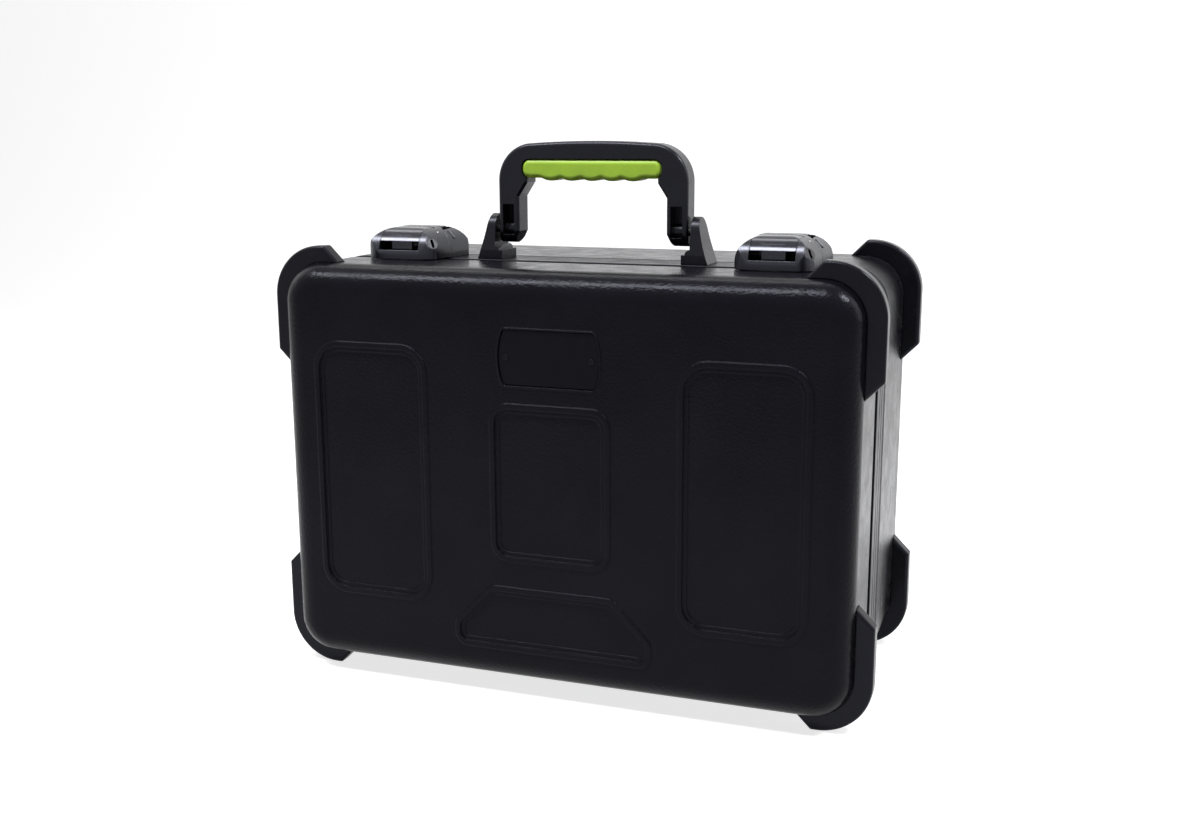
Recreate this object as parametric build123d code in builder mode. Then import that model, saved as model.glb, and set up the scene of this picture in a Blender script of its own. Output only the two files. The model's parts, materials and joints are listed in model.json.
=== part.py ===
"""Hard case for microphones: two moulded shells, hinged at the bottom, with a carrying handle.

The case stands upright on its lower corner guards, as it does when it is carried.
X runs across the front, Y from the lid to the back, Z up.
The origin is on the floor, in the middle of the case's width and depth.
All sizes are in millimetres.
"""

import os
from math import cos, radians, sin, sqrt

from build123d import *

os.makedirs("parts", exist_ok=True)

# ---------------------------------------------------------------- driving dimensions
# Shells
body_width = 407.0
body_height = 286.0
lid_depth = 66.0
groove_width = 10.0
band_width = 32.0
seam_gap = 1.0
shell_depth = 105.0
corner_radius = 27.0
face_radius = 18.0
wall = 4.0
rim_round = 1.2

# Valance ring between the shells
ring_inset = 4.5
ring_wall = 2.3
ring_into_lid = 6.0
ring_into_shell = 12.0
ring_fit = 0.15
band_round = 0.8
band_groove_first = 3.0
band_groove_pitch = 9.0
band_groove_width = 1.6
band_groove_depth = 0.9
band_grooves = 3

# Raised beads and sunk panels on both faces; the low panel is measured from the shell's lower edge
bead_height = 1.0
bead_half_width = 2.0
bead_round = 0.8
ledge_width = 3.0
ledge_depth = 0.7
panel_depth = 1.4
side_panel_margin = 29.5
side_panel_width = 83.4
side_panel_height = 178.4
side_panel_radius = 18.0
centre_panel_width = 82.4
centre_panel_height = 106.8
centre_panel_radius = 12.0
low_panel_top = 68.0
low_panel_bottom = 25.4
low_panel_side = 15.1
low_panel_half_top = 43.3
low_panel_half_bottom = 70.0
low_panel_radius = 8.0

# Name plate, set a little below the middle of the room over the centre panel
plate_drop = 4.0
plate_half_width = 32.0
plate_bow = 3.5
plate_height = 37.0
plate_radius = 2.5
plate_thickness = 1.4
plate_pocket = 1.8
plate_fit = 0.3
plate_bead = 0.6
plate_bead_width = 1.5
plate_chamfer = 0.35
plate_screw_x = 30.3
plate_screw_radius = 1.1
plate_screw_head = 1.9
plate_screw_head_height = 0.7
plate_slot_width = 0.5
plate_slot_length = 2.28

# Corner guards; legs and screw heights are measured from a guard's outermost edge
guard_side = 12.5
guard_drop = 11.5
guard_setback = 17.7
guard_thickness = 12.0
guard_radius = 36.0
guard_foot = 4.0
guard_leg = 74.5
guard_fit = 0.15
guard_edge_round = 2.2
guard_screw_heights = (66.5, 47.5)
guard_screw_length = 10.0

# Countersunk screws
screw_radius = 2.0
screw_head_radius = 3.8
screw_head_height = 1.8
screw_fit = 0.1

# Hinges under the parting line
hinge_x = 105.0
hinge_length = 60.0
hinge_leaf = 1.6
hinge_leaf_width = 24.0
hinge_barrel_radius = 3.5
hinge_pin_radius = 1.6
hinge_running = 0.05
hinge_knuckles = 5
hinge_knuckle_gap = 0.4
hinge_tongue = 3.0
hinge_leaf_corner = 2.0
rivet_radius = 1.8
rivet_head_radius = 3.2
rivet_head_height = 1.2
rivet_head_round = 0.84
rivet_setback = 14.4
hinge_rivet_steps = (-20.0, 0.0, 20.0)

# Foam linings
foam_clearance = 0.5
base_foam_setback = 3.0
drop_columns = 5
drop_rows = 3
drop_pitch_x = 72.0
drop_pitch_z = 78.0
drop_radius = 24.0
drop_depth = 95.0
drop_chamfer = 3.0
lid_foam_thickness = 34.0

# Carrying handle
handle_pivot_up = 21.5
handle_half_width = 70.0
handle_leg_width = 15.3
handle_top_up = 81.4
handle_crown = 1.5
handle_corner_radius = 26.0
handle_depth = 20.0
handle_foot_up = 10.0
handle_foot_chamfer_x = 5.0
handle_foot_chamfer_z = 9.9
handle_round = 3.0
opening_below_web = 8.1
opening_chamfer_x = 6.5
opening_chamfer_z = 10.0
leg_window_in = 7.8
leg_window_width = 8.6
leg_window_low_up = 17.5
leg_window_high_up = 38.9
leg_window_depth = 13.0
leg_window_corner = 1.0
handle_knuckle_radius = 5.2
grip_into_leg = 3.3
grip_below_top = 11.0
grip_height = 13.0
grip_depth = 20.8
grip_ridge = 1.9
grip_ridge_pitch = 15.0
grip_ridges = 5
grip_valley_radius = 3.0
grip_end_radius = 5.5
grip_round = 3.5
web_thickness = 8.0
web_low = 5.1
grip_fit = 0.2
handle_pin_radius = 3.0
handle_running = 0.05

# Handle brackets
bracket_gap = 2.4
bracket_top_radius = 10.5
bracket_top_width = 5.0
bracket_waist_width = 7.9
bracket_waist_up = 17.0
bracket_base_out = 13.0
bracket_base_in = 5.9
bracket_foot_height = 6.5
bracket_foot_depth = 26.0
bracket_hollow = 3.4
handle_pin_hold = 5.0
handle_pin_into_leg = 13.0
bracket_screw_in = 4.5
bracket_screw_step = 7.0
bracket_screw_bite = 5.0

# Latches
latch_share = 0.65
latch_front_over = 14.0
latch_height = 22.0
latch_front_half = 26.0
latch_back_half = 31.0
latch_dome_radius = 19.0
latch_corner_radius = 12.0
latch_back_corner = 4.0
latch_pivot_back = 28.0
latch_screw_x = 10.0
latch_screw_back = 8.0
latch_screw_bite = 8.0
barrel_radius = 14.0
latch_gap = 0.35
lever_floor = 0.5
lever_pin_radius = 2.5
arm_width = 3.6
arm_radius = 5.0
arm_offset = 17.6
arm_into_lever = 1.0
window_half = 15.6
rim_wall = 1.8
rim_height = 6.8
flap_low_up = 13.0
flap_skin = 2.4
skin_forward = 6.0
cavity_height = 12.0
trigger_back = 18.0
trigger_knuckle = 4.6
trigger_pin_radius = 1.5
trigger_pin_hold = 5.0
trigger_running = 0.05
claw_half_width = 8.0
claw_thickness = 2.6
claw_round = 1.0
claw_gap = 0.5

# Strike plates on the lid
strike_length = 36.0
strike_width = 10.0
strike_thickness = 1.6
strike_radius = 1.5
strike_fit = 0.15
strike_slot_length = 17.2
strike_slot_width = 5.0
strike_screw_x = 13.2
strike_setback = 1.5

# Key locks and indicators on the latches
lock_radius = 4.2
lock_length = 8.0
lock_running = 0.05
lock_face_radius = 5.4
lock_x = 24.0
lock_back = 7.0
lock_up = 11.5
lock_yaw = 32.0
lock_tilt = 28.0
lock_edge_round = 0.3
key_slot_width = 2.2
key_slot_length = 6.6
key_slot_depth = 4.0
indicator_up = 16.2
indicator_forward = 4.0
indicator_length = 8.0
indicator_width = 2.6
indicator_depth = 1.0
indicator_proud = 0.3
indicator_fit = 0.15

# How far cuts run past a face, how far crossed forms stand off each other's faces, and how
# closely edges are told apart by their place
cut_over = 1.0
face_offset = 0.05
pick_margin = 0.01

# ---------------------------------------------------------------- derived places
case_depth = lid_depth + groove_width + band_width + seam_gap + shell_depth
lid_face = -case_depth / 2
lid_rim = lid_face + lid_depth
band_front = lid_rim + groove_width
band_back = band_front + band_width
shell_front = band_back + seam_gap
shell_face = shell_front + shell_depth

half_width = body_width / 2
half_height = body_height / 2
body_floor = guard_drop
body_mid = guard_drop + half_height
body_top = guard_drop + body_height
guard_far_x = half_width + guard_side
guard_far_z = half_height + guard_drop

side_panel_x = half_width - side_panel_margin - side_panel_width / 2
plate_room = half_height - face_radius - centre_panel_height / 2 - bead_half_width
plate_up = centre_panel_height / 2 + bead_half_width + plate_room / 2 - plate_drop

ring_inside = ring_inset + ring_wall
ring_front = lid_rim - ring_into_lid
ring_back = shell_front + ring_into_shell
base_foam_front = band_front + base_foam_setback

hinge_axis_y = (lid_rim + band_front) / 2
hinge_axis_z = body_floor - hinge_leaf / 2

handle_pivot_y = (band_front + band_back) / 2
handle_pivot_z = body_top + handle_pivot_up
handle_front = handle_pivot_y - handle_depth / 2
leg_inner = handle_half_width - handle_leg_width
opening_top_x = leg_inner - opening_chamfer_x
leg_window_x = handle_half_width - leg_window_in
bracket_inner = handle_half_width + bracket_gap
bracket_outer = bracket_inner + bracket_base_out

grip_half_length = opening_top_x + grip_into_leg
grip_top_up = handle_top_up - grip_below_top
grip_low_up = grip_top_up - grip_height
web_low_up = grip_low_up + web_low
opening_shoulder_up = web_low_up - opening_below_web - opening_chamfer_z
shoulder_up = opening_shoulder_up + opening_chamfer_z

latch_spare = half_width - corner_radius - bracket_outer - 2 * latch_back_half
latch_x = bracket_outer + latch_back_half + latch_share * latch_spare
latch_front = lid_rim - latch_front_over
latch_pivot_y = lid_rim + latch_pivot_back
latch_back = latch_pivot_y + barrel_radius
latch_pivot_z = body_top + latch_height - barrel_radius
trigger_pivot_y = latch_pivot_y - trigger_back
trigger_pivot_z = body_top + latch_height - trigger_knuckle
SIDES = {"left": -1, "right": 1}
LEVELS = {"bottom": -1, "top": 1}


# ---------------------------------------------------------------- helpers
def front_plane(y):
    """Plane across the case at depth y, drawn on as seen from the front."""
    return Plane.XZ.offset(-y)


def side_plane(x):
    """Plane across the case's width at x, with Y across and Z up."""
    return Plane.YZ.offset(x)


def save(piece, name):
    """Label a finished piece and write it under its own name."""
    piece.label = name
    export_step(piece, f"parts/{name}.step")


def shell_block(open_y, face_y, inset=0.0):
    """Solid block of a shell's outer form, drawn in by inset and rounded at its face."""
    to_front = face_y < open_y
    depth = abs(face_y - open_y) - inset
    with BuildPart() as block:
        with BuildSketch(front_plane(open_y)):
            with Locations((0, body_mid)):
                RectangleRounded(body_width - 2 * inset, body_height - 2 * inset, corner_radius - inset)
        extrude(amount=depth if to_front else -depth)
        fillet(block.edges().group_by(Axis.Y)[0 if to_front else -1], face_radius - inset)
    return block.part


def ring(front_y, back_y, outer_inset, inner_inset):
    """Closed ring that follows the shells' outline between two depths."""
    with BuildPart() as band:
        with BuildSketch(front_plane(back_y)):
            for inset, mode in ((outer_inset, Mode.ADD), (inner_inset, Mode.SUBTRACT)):
                with Locations((0, body_mid)):
                    RectangleRounded(
                        body_width - 2 * inset, body_height - 2 * inset, corner_radius - inset, mode=mode
                    )
        extrude(amount=back_y - front_y)
    return band.part


def panel_outlines(y, grow):
    """The four panel outlines of a shell's face at depth y, each grown by grow."""
    low_bottom = body_floor + low_panel_bottom
    low_top = body_floor + low_panel_top
    low_corners = [
        (-low_panel_half_bottom, low_bottom),
        (low_panel_half_bottom, low_bottom),
        (low_panel_half_bottom, low_bottom + low_panel_side),
        (low_panel_half_top, low_top),
        (-low_panel_half_top, low_top),
        (-low_panel_half_bottom, low_bottom + low_panel_side),
    ]
    with BuildSketch(front_plane(y)) as low_panel:
        with BuildLine():
            Polyline(*low_corners, close=True)
        make_face()
        fillet(low_panel.vertices(), low_panel_radius)
        offset(amount=grow)
    with BuildSketch(front_plane(y)) as outlines:
        with Locations((-side_panel_x, body_mid), (side_panel_x, body_mid)):
            RectangleRounded(
                side_panel_width + 2 * grow, side_panel_height + 2 * grow, side_panel_radius + grow
            )
        with Locations((0, body_mid)):
            RectangleRounded(
                centre_panel_width + 2 * grow, centre_panel_height + 2 * grow, centre_panel_radius + grow
            )
        add(low_panel.sketch_local)
    return outlines.sketch


def countersunk_screws(points, direction, length):
    """Countersunk screws whose flat heads lie at points, pointing along direction."""
    with BuildPart() as screws:
        for point in points:
            with BuildSketch(Plane(origin=point, z_dir=direction)):
                Circle(screw_radius)
            extrude(amount=length)
            with BuildSketch(Plane(origin=point, z_dir=direction)):
                Circle(screw_head_radius)
            extrude(amount=screw_head_height, taper=45)
    return screws.part


def screw_holes(points, direction, length):
    """The room that countersunk screws take, with their clearance."""
    with BuildPart() as holes:
        for point in points:
            start = Vector(point) - Vector(direction) * screw_fit
            with BuildSketch(Plane(origin=point, z_dir=direction)):
                Circle(screw_radius + screw_fit)
            extrude(amount=length + screw_fit)
            with BuildSketch(Plane(origin=start, z_dir=direction)):
                Circle(screw_head_radius + 2 * screw_fit)
            extrude(amount=screw_head_height + 2 * screw_fit, taper=45)
    return holes.part


def cylinder_along_x(x_low, x_high, y, z, radius):
    """Round bar along X."""
    with BuildPart() as bar:
        with BuildSketch(side_plane(x_low)):
            with Locations((y, z)):
                Circle(radius)
        extrude(amount=x_high - x_low)
    return bar.part


# ---------------------------------------------------------------- screw places
def guard_screw_points(side, level):
    """Head places of the two screws that hold one corner guard, at the shell's inner wall."""
    x = side * (half_width - wall)
    return [(x, body_mid + level * (guard_far_z - height)) for height in guard_screw_heights]


def guard_screw_list(y, side, level):
    """The same places as points in space at depth y."""
    return [(x, y, z) for x, z in guard_screw_points(side, level)]


guard_front_y = {"lid": lid_face + guard_setback, "base": shell_face - guard_setback - guard_thickness}
guard_mid_y = {shell: front + guard_thickness / 2 for shell, front in guard_front_y.items()}

band_inner_top = body_top - ring_inside
latch_screw_offsets = [(step * latch_screw_x, latch_pivot_y + latch_screw_back) for step in (-1, 1)]
latch_screw_points = [
    (side * latch_x + x, y, band_inner_top) for side in SIDES.values() for x, y in latch_screw_offsets
]
latch_screw_length = ring_inside + latch_screw_bite
bracket_screw_x = bracket_inner + bracket_screw_in
bracket_screw_points = [
    (side * bracket_screw_x, handle_pivot_y + step * bracket_screw_step, band_inner_top)
    for side in SIDES.values()
    for step in (-1, 1)
]
bracket_screw_length = ring_inside + bracket_screw_bite
strike_mid_y = lid_rim - strike_setback - strike_width / 2
strike_screw_offsets = [(step * strike_screw_x, strike_mid_y, body_top) for step in (-1, 1)]
strike_screw_points = [
    (side * latch_x + x, y, z) for side in SIDES.values() for x, y, z in strike_screw_offsets
]
plate_screw_points = [(step * plate_screw_x, body_mid + plate_up) for step in (-1, 1)]
plate_screw_length = wall - plate_pocket
lid_rivet_y = lid_rim - rivet_setback
base_rivet_y = band_front + rivet_setback
rivet_x = [side * hinge_x + step for side in SIDES.values() for step in hinge_rivet_steps]


# ---------------------------------------------------------------- shells
def plate_outline(y, grow):
    """Name plate outline with bowed sides, at depth y."""
    low = body_mid + plate_up - plate_height / 2
    high = low + plate_height
    middle = body_mid + plate_up
    with BuildSketch(front_plane(y)) as outline:
        with BuildLine():
            Line((-plate_half_width, low), (plate_half_width, low))
            ThreePointArc(
                (plate_half_width, low), (plate_half_width + plate_bow, middle), (plate_half_width, high)
            )
            Line((plate_half_width, high), (-plate_half_width, high))
            ThreePointArc(
                (-plate_half_width, high), (-plate_half_width - plate_bow, middle), (-plate_half_width, low)
            )
        make_face()
        fillet(outline.vertices(), plate_radius)
        if grow:
            offset(amount=grow)
    return outline.sketch


def moulded_shell(open_y, face_y, outward):
    """Hollow shell with beaded, sunk panels; outward is 1 for the front and -1 for the back."""
    bead_y = face_y - outward * bead_height
    with BuildPart() as shell:
        add(shell_block(open_y, face_y))
        extrude(panel_outlines(face_y, bead_half_width), amount=outward * bead_height)
        bead_edges = shell.edges().filter_by_position(Axis.Y, bead_y - pick_margin, bead_y + pick_margin)
        fillet(bead_edges, bead_round)
        ledge_cut = -outward * (bead_height + ledge_depth)
        extrude(panel_outlines(bead_y, -bead_half_width), amount=ledge_cut, mode=Mode.SUBTRACT)
        floor_outlines = panel_outlines(face_y, -bead_half_width - ledge_width)
        extrude(floor_outlines, amount=-outward * panel_depth, mode=Mode.SUBTRACT)
        add(shell_block(open_y, face_y, wall), mode=Mode.SUBTRACT)
    return shell.part


with BuildPart() as lid_shell:
    add(moulded_shell(lid_rim, lid_face, 1))
    extrude(plate_outline(lid_face, plate_bead_width), amount=plate_bead)
    pocket_outline = plate_outline(lid_face - plate_bead, plate_fit)
    extrude(pocket_outline, amount=-plate_pocket - plate_bead, mode=Mode.SUBTRACT)
    with BuildSketch(front_plane(lid_face)):
        with Locations(*plate_screw_points):
            Circle(plate_screw_radius + screw_fit)
    extrude(amount=-wall, mode=Mode.SUBTRACT)
    rim_edges = lid_shell.edges().group_by(Axis.Y)[-1]
    fillet(rim_edges, rim_round)
    for side in SIDES.values():
        for level in LEVELS.values():
            points = guard_screw_list(guard_mid_y["lid"], side, level)
            add(screw_holes(points, (side, 0, 0), guard_screw_length), mode=Mode.SUBTRACT)
    with BuildSketch(Plane.XY.offset(body_top)):
        with Locations((-latch_x, strike_mid_y), (latch_x, strike_mid_y)):
            RectangleRounded(
                strike_length + 2 * strike_fit, strike_width + 2 * strike_fit, strike_radius + strike_fit
            )
    extrude(amount=-strike_thickness, mode=Mode.SUBTRACT)
    add(screw_holes(strike_screw_points, (0, 0, -1), wall), mode=Mode.SUBTRACT)
    with BuildSketch(Plane.XY.offset(body_floor)):
        with Locations(*[(x, lid_rivet_y) for x in rivet_x]):
            Circle(rivet_radius + screw_fit)
    extrude(amount=wall, mode=Mode.SUBTRACT)
save(lid_shell.part, "lid_shell")

with BuildPart() as base_shell:
    add(moulded_shell(shell_front, shell_face, -1))
    fillet(base_shell.edges().group_by(Axis.Y)[0], rim_round)
    for side in SIDES.values():
        for level in LEVELS.values():
            points = guard_screw_list(guard_mid_y["base"], side, level)
            add(screw_holes(points, (side, 0, 0), guard_screw_length), mode=Mode.SUBTRACT)
save(base_shell.part, "base_shell")

with BuildPart() as base_valance:
    with BuildSketch(front_plane(band_back)):
        with Locations((0, body_mid)):
            RectangleRounded(body_width, body_height, corner_radius)
    extrude(amount=band_width)
    end_edges = base_valance.edges().group_by(Axis.Y)
    fillet(end_edges[0] + end_edges[-1], band_round)
    add(ring(ring_front, band_front, ring_inset, ring_inside))
    add(ring(band_back, ring_back, wall + ring_fit, ring_inside))
    with BuildSketch(front_plane(band_back)):
        with Locations((0, body_mid)):
            RectangleRounded(
                body_width - 2 * ring_inside, body_height - 2 * ring_inside, corner_radius - ring_inside
            )
    extrude(amount=band_width, mode=Mode.SUBTRACT)
    for index in range(band_grooves):
        groove_y = band_back - band_groove_first - index * band_groove_pitch - band_groove_width / 2
        groove = ring(groove_y, groove_y + band_groove_width, -cut_over, band_groove_depth)
        add(groove, mode=Mode.SUBTRACT)
    add(screw_holes(latch_screw_points, (0, 0, 1), latch_screw_length), mode=Mode.SUBTRACT)
    add(screw_holes(bracket_screw_points, (0, 0, 1), bracket_screw_length), mode=Mode.SUBTRACT)
    with BuildSketch(Plane.XY.offset(body_floor)):
        with Locations(*[(x, base_rivet_y) for x in rivet_x]):
            Circle(rivet_radius + screw_fit)
    extrude(amount=ring_inside, mode=Mode.SUBTRACT)
save(base_valance.part, "base_valance")


# ---------------------------------------------------------------- corner guards
def corner_guard(front_y, side, level, hull):
    """Fin around one corner of a shell, cut to the shell's form, with its screw holes."""

    def place(x, z):
        return (side * x, body_mid + level * z)

    far_x, far_z = guard_far_x, guard_far_z
    arc_x = far_x - guard_radius
    arc_z = far_z - guard_radius
    foot_x = arc_x - guard_foot
    leg_end = far_z - guard_leg
    bulge = guard_radius * sqrt(0.5)
    depth_in = wall + guard_side
    with BuildPart() as guard:
        with BuildSketch(front_plane(front_y + guard_thickness)) as outline:
            with BuildLine():
                ThreePointArc(place(arc_x, far_z), place(arc_x + bulge, arc_z + bulge), place(far_x, arc_z))
                Polyline(
                    place(far_x, arc_z),
                    place(far_x, leg_end),
                    place(far_x - depth_in, leg_end - depth_in),
                    place(foot_x - depth_in, far_z - depth_in),
                    place(foot_x, far_z),
                    place(arc_x, far_z),
                )
            make_face()
            kinks = (place(far_x, leg_end), place(foot_x, far_z))
            fillet([outline.vertices().sort_by_distance((x, z, 0))[0] for x, z in kinks], guard_edge_round)
        extrude(amount=guard_thickness)
        face_edges = guard.edges().group_by(Axis.Y)
        fillet(face_edges[0] + face_edges[-1], guard_edge_round)
        add(hull, mode=Mode.SUBTRACT)
        points = guard_screw_list(front_y + guard_thickness / 2, side, level)
        add(screw_holes(points, (side, 0, 0), guard_screw_length), mode=Mode.SUBTRACT)
    return guard.part


shell_hulls = {
    "lid": shell_block(lid_rim, lid_face, -guard_fit),
    "base": shell_block(shell_front, shell_face, -guard_fit),
}
for shell, hull in shell_hulls.items():
    for level_name, level in LEVELS.items():
        for side_name, side in SIDES.items():
            guard_piece = corner_guard(guard_front_y[shell], side, level, hull)
            save(guard_piece, f"{shell}_guard_{level_name}_{side_name}")
    with BuildPart() as guard_screws:
        for side in SIDES.values():
            for level in LEVELS.values():
                points = guard_screw_list(guard_mid_y[shell], side, level)
                add(countersunk_screws(points, (side, 0, 0), guard_screw_length))
    save(guard_screws.part, f"{shell}_guard_screws")

# ---------------------------------------------------------------- name plate
with BuildPart() as name_plate:
    extrude(plate_outline(lid_face + plate_pocket, 0), amount=plate_thickness)
    chamfer(name_plate.edges().group_by(Axis.Y)[0], plate_chamfer)
    with BuildSketch(front_plane(lid_face)):
        with Locations(*plate_screw_points):
            Circle(plate_screw_radius + screw_fit)
    extrude(amount=-plate_pocket, mode=Mode.SUBTRACT)
save(name_plate.part, "name_plate")

with BuildPart() as name_plate_screws:
    plate_front = lid_face + plate_pocket - plate_thickness
    with BuildSketch(front_plane(plate_front)):
        with Locations(*plate_screw_points):
            Circle(plate_screw_head)
    extrude(amount=plate_screw_head_height)
    fillet(name_plate_screws.edges().group_by(Axis.Y)[0], plate_screw_head_height / 2)
    with BuildSketch(front_plane(plate_front - plate_screw_head_height)):
        with Locations(*plate_screw_points):
            Rectangle(plate_slot_length, plate_slot_width)
            Rectangle(plate_slot_width, plate_slot_length)
    extrude(amount=-plate_screw_head_height / 2, mode=Mode.SUBTRACT)
    with BuildSketch(front_plane(plate_front)):
        with Locations(*plate_screw_points):
            Circle(plate_screw_radius)
    extrude(amount=-plate_thickness - plate_screw_length)
save(name_plate_screws.part, "name_plate_screws")

# ---------------------------------------------------------------- foam linings
drop_places = [
    (column * drop_pitch_x, body_mid + row * drop_pitch_z)
    for column in (index - (drop_columns - 1) / 2 for index in range(drop_columns))
    for row in (index - (drop_rows - 1) / 2 for index in range(drop_rows))
]
with BuildPart() as base_foam:
    add(shell_block(base_foam_front, shell_face, ring_inside + foam_clearance))
    add(shell_block(ring_back + foam_clearance, shell_face, wall + foam_clearance))
    with BuildSketch(front_plane(base_foam_front)):
        with Locations(*drop_places):
            Circle(drop_radius)
    extrude(amount=-drop_depth, mode=Mode.SUBTRACT)
    mouths = base_foam.edges().filter_by(GeomType.CIRCLE).group_by(Axis.Y)[0]
    chamfer(mouths.filter_by(lambda edge: abs(edge.radius - drop_radius) < pick_margin), drop_chamfer)
save(base_foam.part, "base_foam")

with BuildPart() as lid_foam:
    lid_foam_back = lid_face + wall + foam_clearance + lid_foam_thickness
    add(shell_block(lid_foam_back, lid_face, wall + foam_clearance))
save(lid_foam.part, "lid_foam")


# ---------------------------------------------------------------- hinges
def hinge_leaf_piece(middle_x, outward, own_knuckles):
    """Hinge leaf with its own knuckles; outward is -1 on the lid and 1 on the base."""
    start_x = middle_x - hinge_length / 2
    pitch = hinge_length / hinge_knuckles
    clear = hinge_barrel_radius + hinge_knuckle_gap
    far_y = (lid_rim if outward < 0 else band_front) + outward * hinge_leaf_width
    near_y = hinge_axis_y + outward * clear
    rivet_y = lid_rivet_y if outward < 0 else base_rivet_y
    with BuildPart() as leaf:
        with BuildSketch(Plane.XY.offset(body_floor)):
            with Locations((middle_x, (far_y + near_y) / 2)):
                RectangleRounded(hinge_length, abs(far_y - near_y), hinge_leaf_corner)
        extrude(amount=-hinge_leaf)
        for index in own_knuckles:
            low = start_x + index * pitch + hinge_knuckle_gap / 2
            with BuildSketch(side_plane(low)):
                with Locations((hinge_axis_y, hinge_axis_z)):
                    Circle(hinge_barrel_radius)
                tongue_y = near_y + outward * hinge_tongue
                with Locations(((hinge_axis_y + tongue_y) / 2, hinge_axis_z)):
                    Rectangle(abs(tongue_y - hinge_axis_y), hinge_leaf)
            extrude(amount=pitch - hinge_knuckle_gap)
        with BuildSketch(side_plane(start_x)):
            with Locations((hinge_axis_y, hinge_axis_z)):
                Circle(hinge_pin_radius + hinge_running)
        extrude(amount=hinge_length, mode=Mode.SUBTRACT)
        with BuildSketch(Plane.XY.offset(body_floor)):
            with Locations(*[(middle_x + step, rivet_y) for step in hinge_rivet_steps]):
                Circle(rivet_radius + screw_fit)
        extrude(amount=-hinge_leaf, mode=Mode.SUBTRACT)
    return leaf.part


def hinge_rivets(rivet_y, grip_length):
    """Round-headed rivets through a leaf and the wall above it."""
    with BuildPart() as rivets:
        places = [(x, rivet_y) for x in rivet_x]
        with BuildSketch(Plane.XY.offset(body_floor - hinge_leaf)):
            with Locations(*places):
                Circle(rivet_head_radius)
        extrude(amount=-rivet_head_height)
        fillet(rivets.edges().group_by(Axis.Z)[0], rivet_head_round)
        with BuildSketch(Plane.XY.offset(body_floor - hinge_leaf)):
            with Locations(*places):
                Circle(rivet_radius)
        extrude(amount=hinge_leaf + grip_length)
    return rivets.part


for side_name, side in SIDES.items():
    middle_x = side * hinge_x
    even_knuckles = range(0, hinge_knuckles, 2)
    odd_knuckles = range(1, hinge_knuckles, 2)
    save(hinge_leaf_piece(middle_x, 1, even_knuckles), f"hinge_{side_name}_base_leaf")
    save(hinge_leaf_piece(middle_x, -1, odd_knuckles), f"hinge_{side_name}_lid_leaf")
    pin_low = middle_x - hinge_length / 2
    pin = cylinder_along_x(pin_low, pin_low + hinge_length, hinge_axis_y, hinge_axis_z, hinge_pin_radius)
    save(pin, f"hinge_{side_name}_pin")
save(hinge_rivets(base_rivet_y, ring_inside), "base_hinge_rivets")
save(hinge_rivets(lid_rivet_y, wall), "lid_hinge_rivets")

# ---------------------------------------------------------------- carrying handle
def up(height):
    """Height above the shells' top wall."""
    return body_top + height


def grip_outline(y, grow):
    """Front outline of the grip with its finger ridges underneath, at depth y."""
    low = up(grip_low_up) - grow
    high = up(grip_top_up) + grow
    end_x = grip_half_length + grow
    wave_end = grip_ridge_pitch * grip_ridges / 2
    with BuildSketch(front_plane(y)) as outline:
        with BuildLine():
            for index in range(grip_ridges):
                start_x = index * grip_ridge_pitch - wave_end
                ThreePointArc(
                    (start_x, low),
                    (start_x + grip_ridge_pitch / 2, low - grip_ridge),
                    (start_x + grip_ridge_pitch, low),
                )
            Polyline(
                (wave_end, low),
                (end_x, low),
                (end_x, high),
                (-end_x, high),
                (-end_x, low),
                (-wave_end, low),
            )
        make_face()
        corners = outline.vertices().filter_by(lambda vertex: abs(abs(vertex.X) - end_x) < pick_margin)
        fillet(corners, grip_end_radius + grow)
        valleys = outline.vertices().group_by(Axis.Y)[0]
        valleys = valleys.filter_by(lambda vertex: abs(vertex.X) < wave_end + pick_margin)
        fillet(valleys, grip_valley_radius)
    return outline.sketch


def frame_outline(y):
    """Front outline of the handle's bow: both legs, the crown and the opening between them."""
    top_x = handle_half_width - handle_corner_radius
    arc_up = up(handle_top_up - handle_corner_radius)
    bulge = handle_corner_radius * sqrt(0.5)
    foot_x = leg_inner + handle_foot_chamfer_x
    inner_right = [
        (foot_x, up(handle_foot_up)),
        (leg_inner, up(handle_foot_up + handle_foot_chamfer_z)),
        (leg_inner, up(opening_shoulder_up)),
        (opening_top_x, up(shoulder_up)),
        (opening_top_x, up(web_low_up)),
    ]
    inner_left = [(-x, z) for x, z in reversed(inner_right)]
    with BuildSketch(front_plane(y)) as outline:
        with BuildLine():
            Polyline(*inner_right, *inner_left)
            for side in (-1, 1):
                Polyline(
                    (side * foot_x, up(handle_foot_up)),
                    (side * handle_half_width, up(handle_foot_up)),
                    (side * handle_half_width, arc_up),
                )
                ThreePointArc(
                    (side * handle_half_width, arc_up),
                    (side * (top_x + bulge), arc_up + bulge),
                    (side * top_x, up(handle_top_up)),
                )
            ThreePointArc(
                (-top_x, up(handle_top_up)),
                (0, up(handle_top_up + handle_crown)),
                (top_x, up(handle_top_up)),
            )
        make_face()
    return outline.sketch


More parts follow.
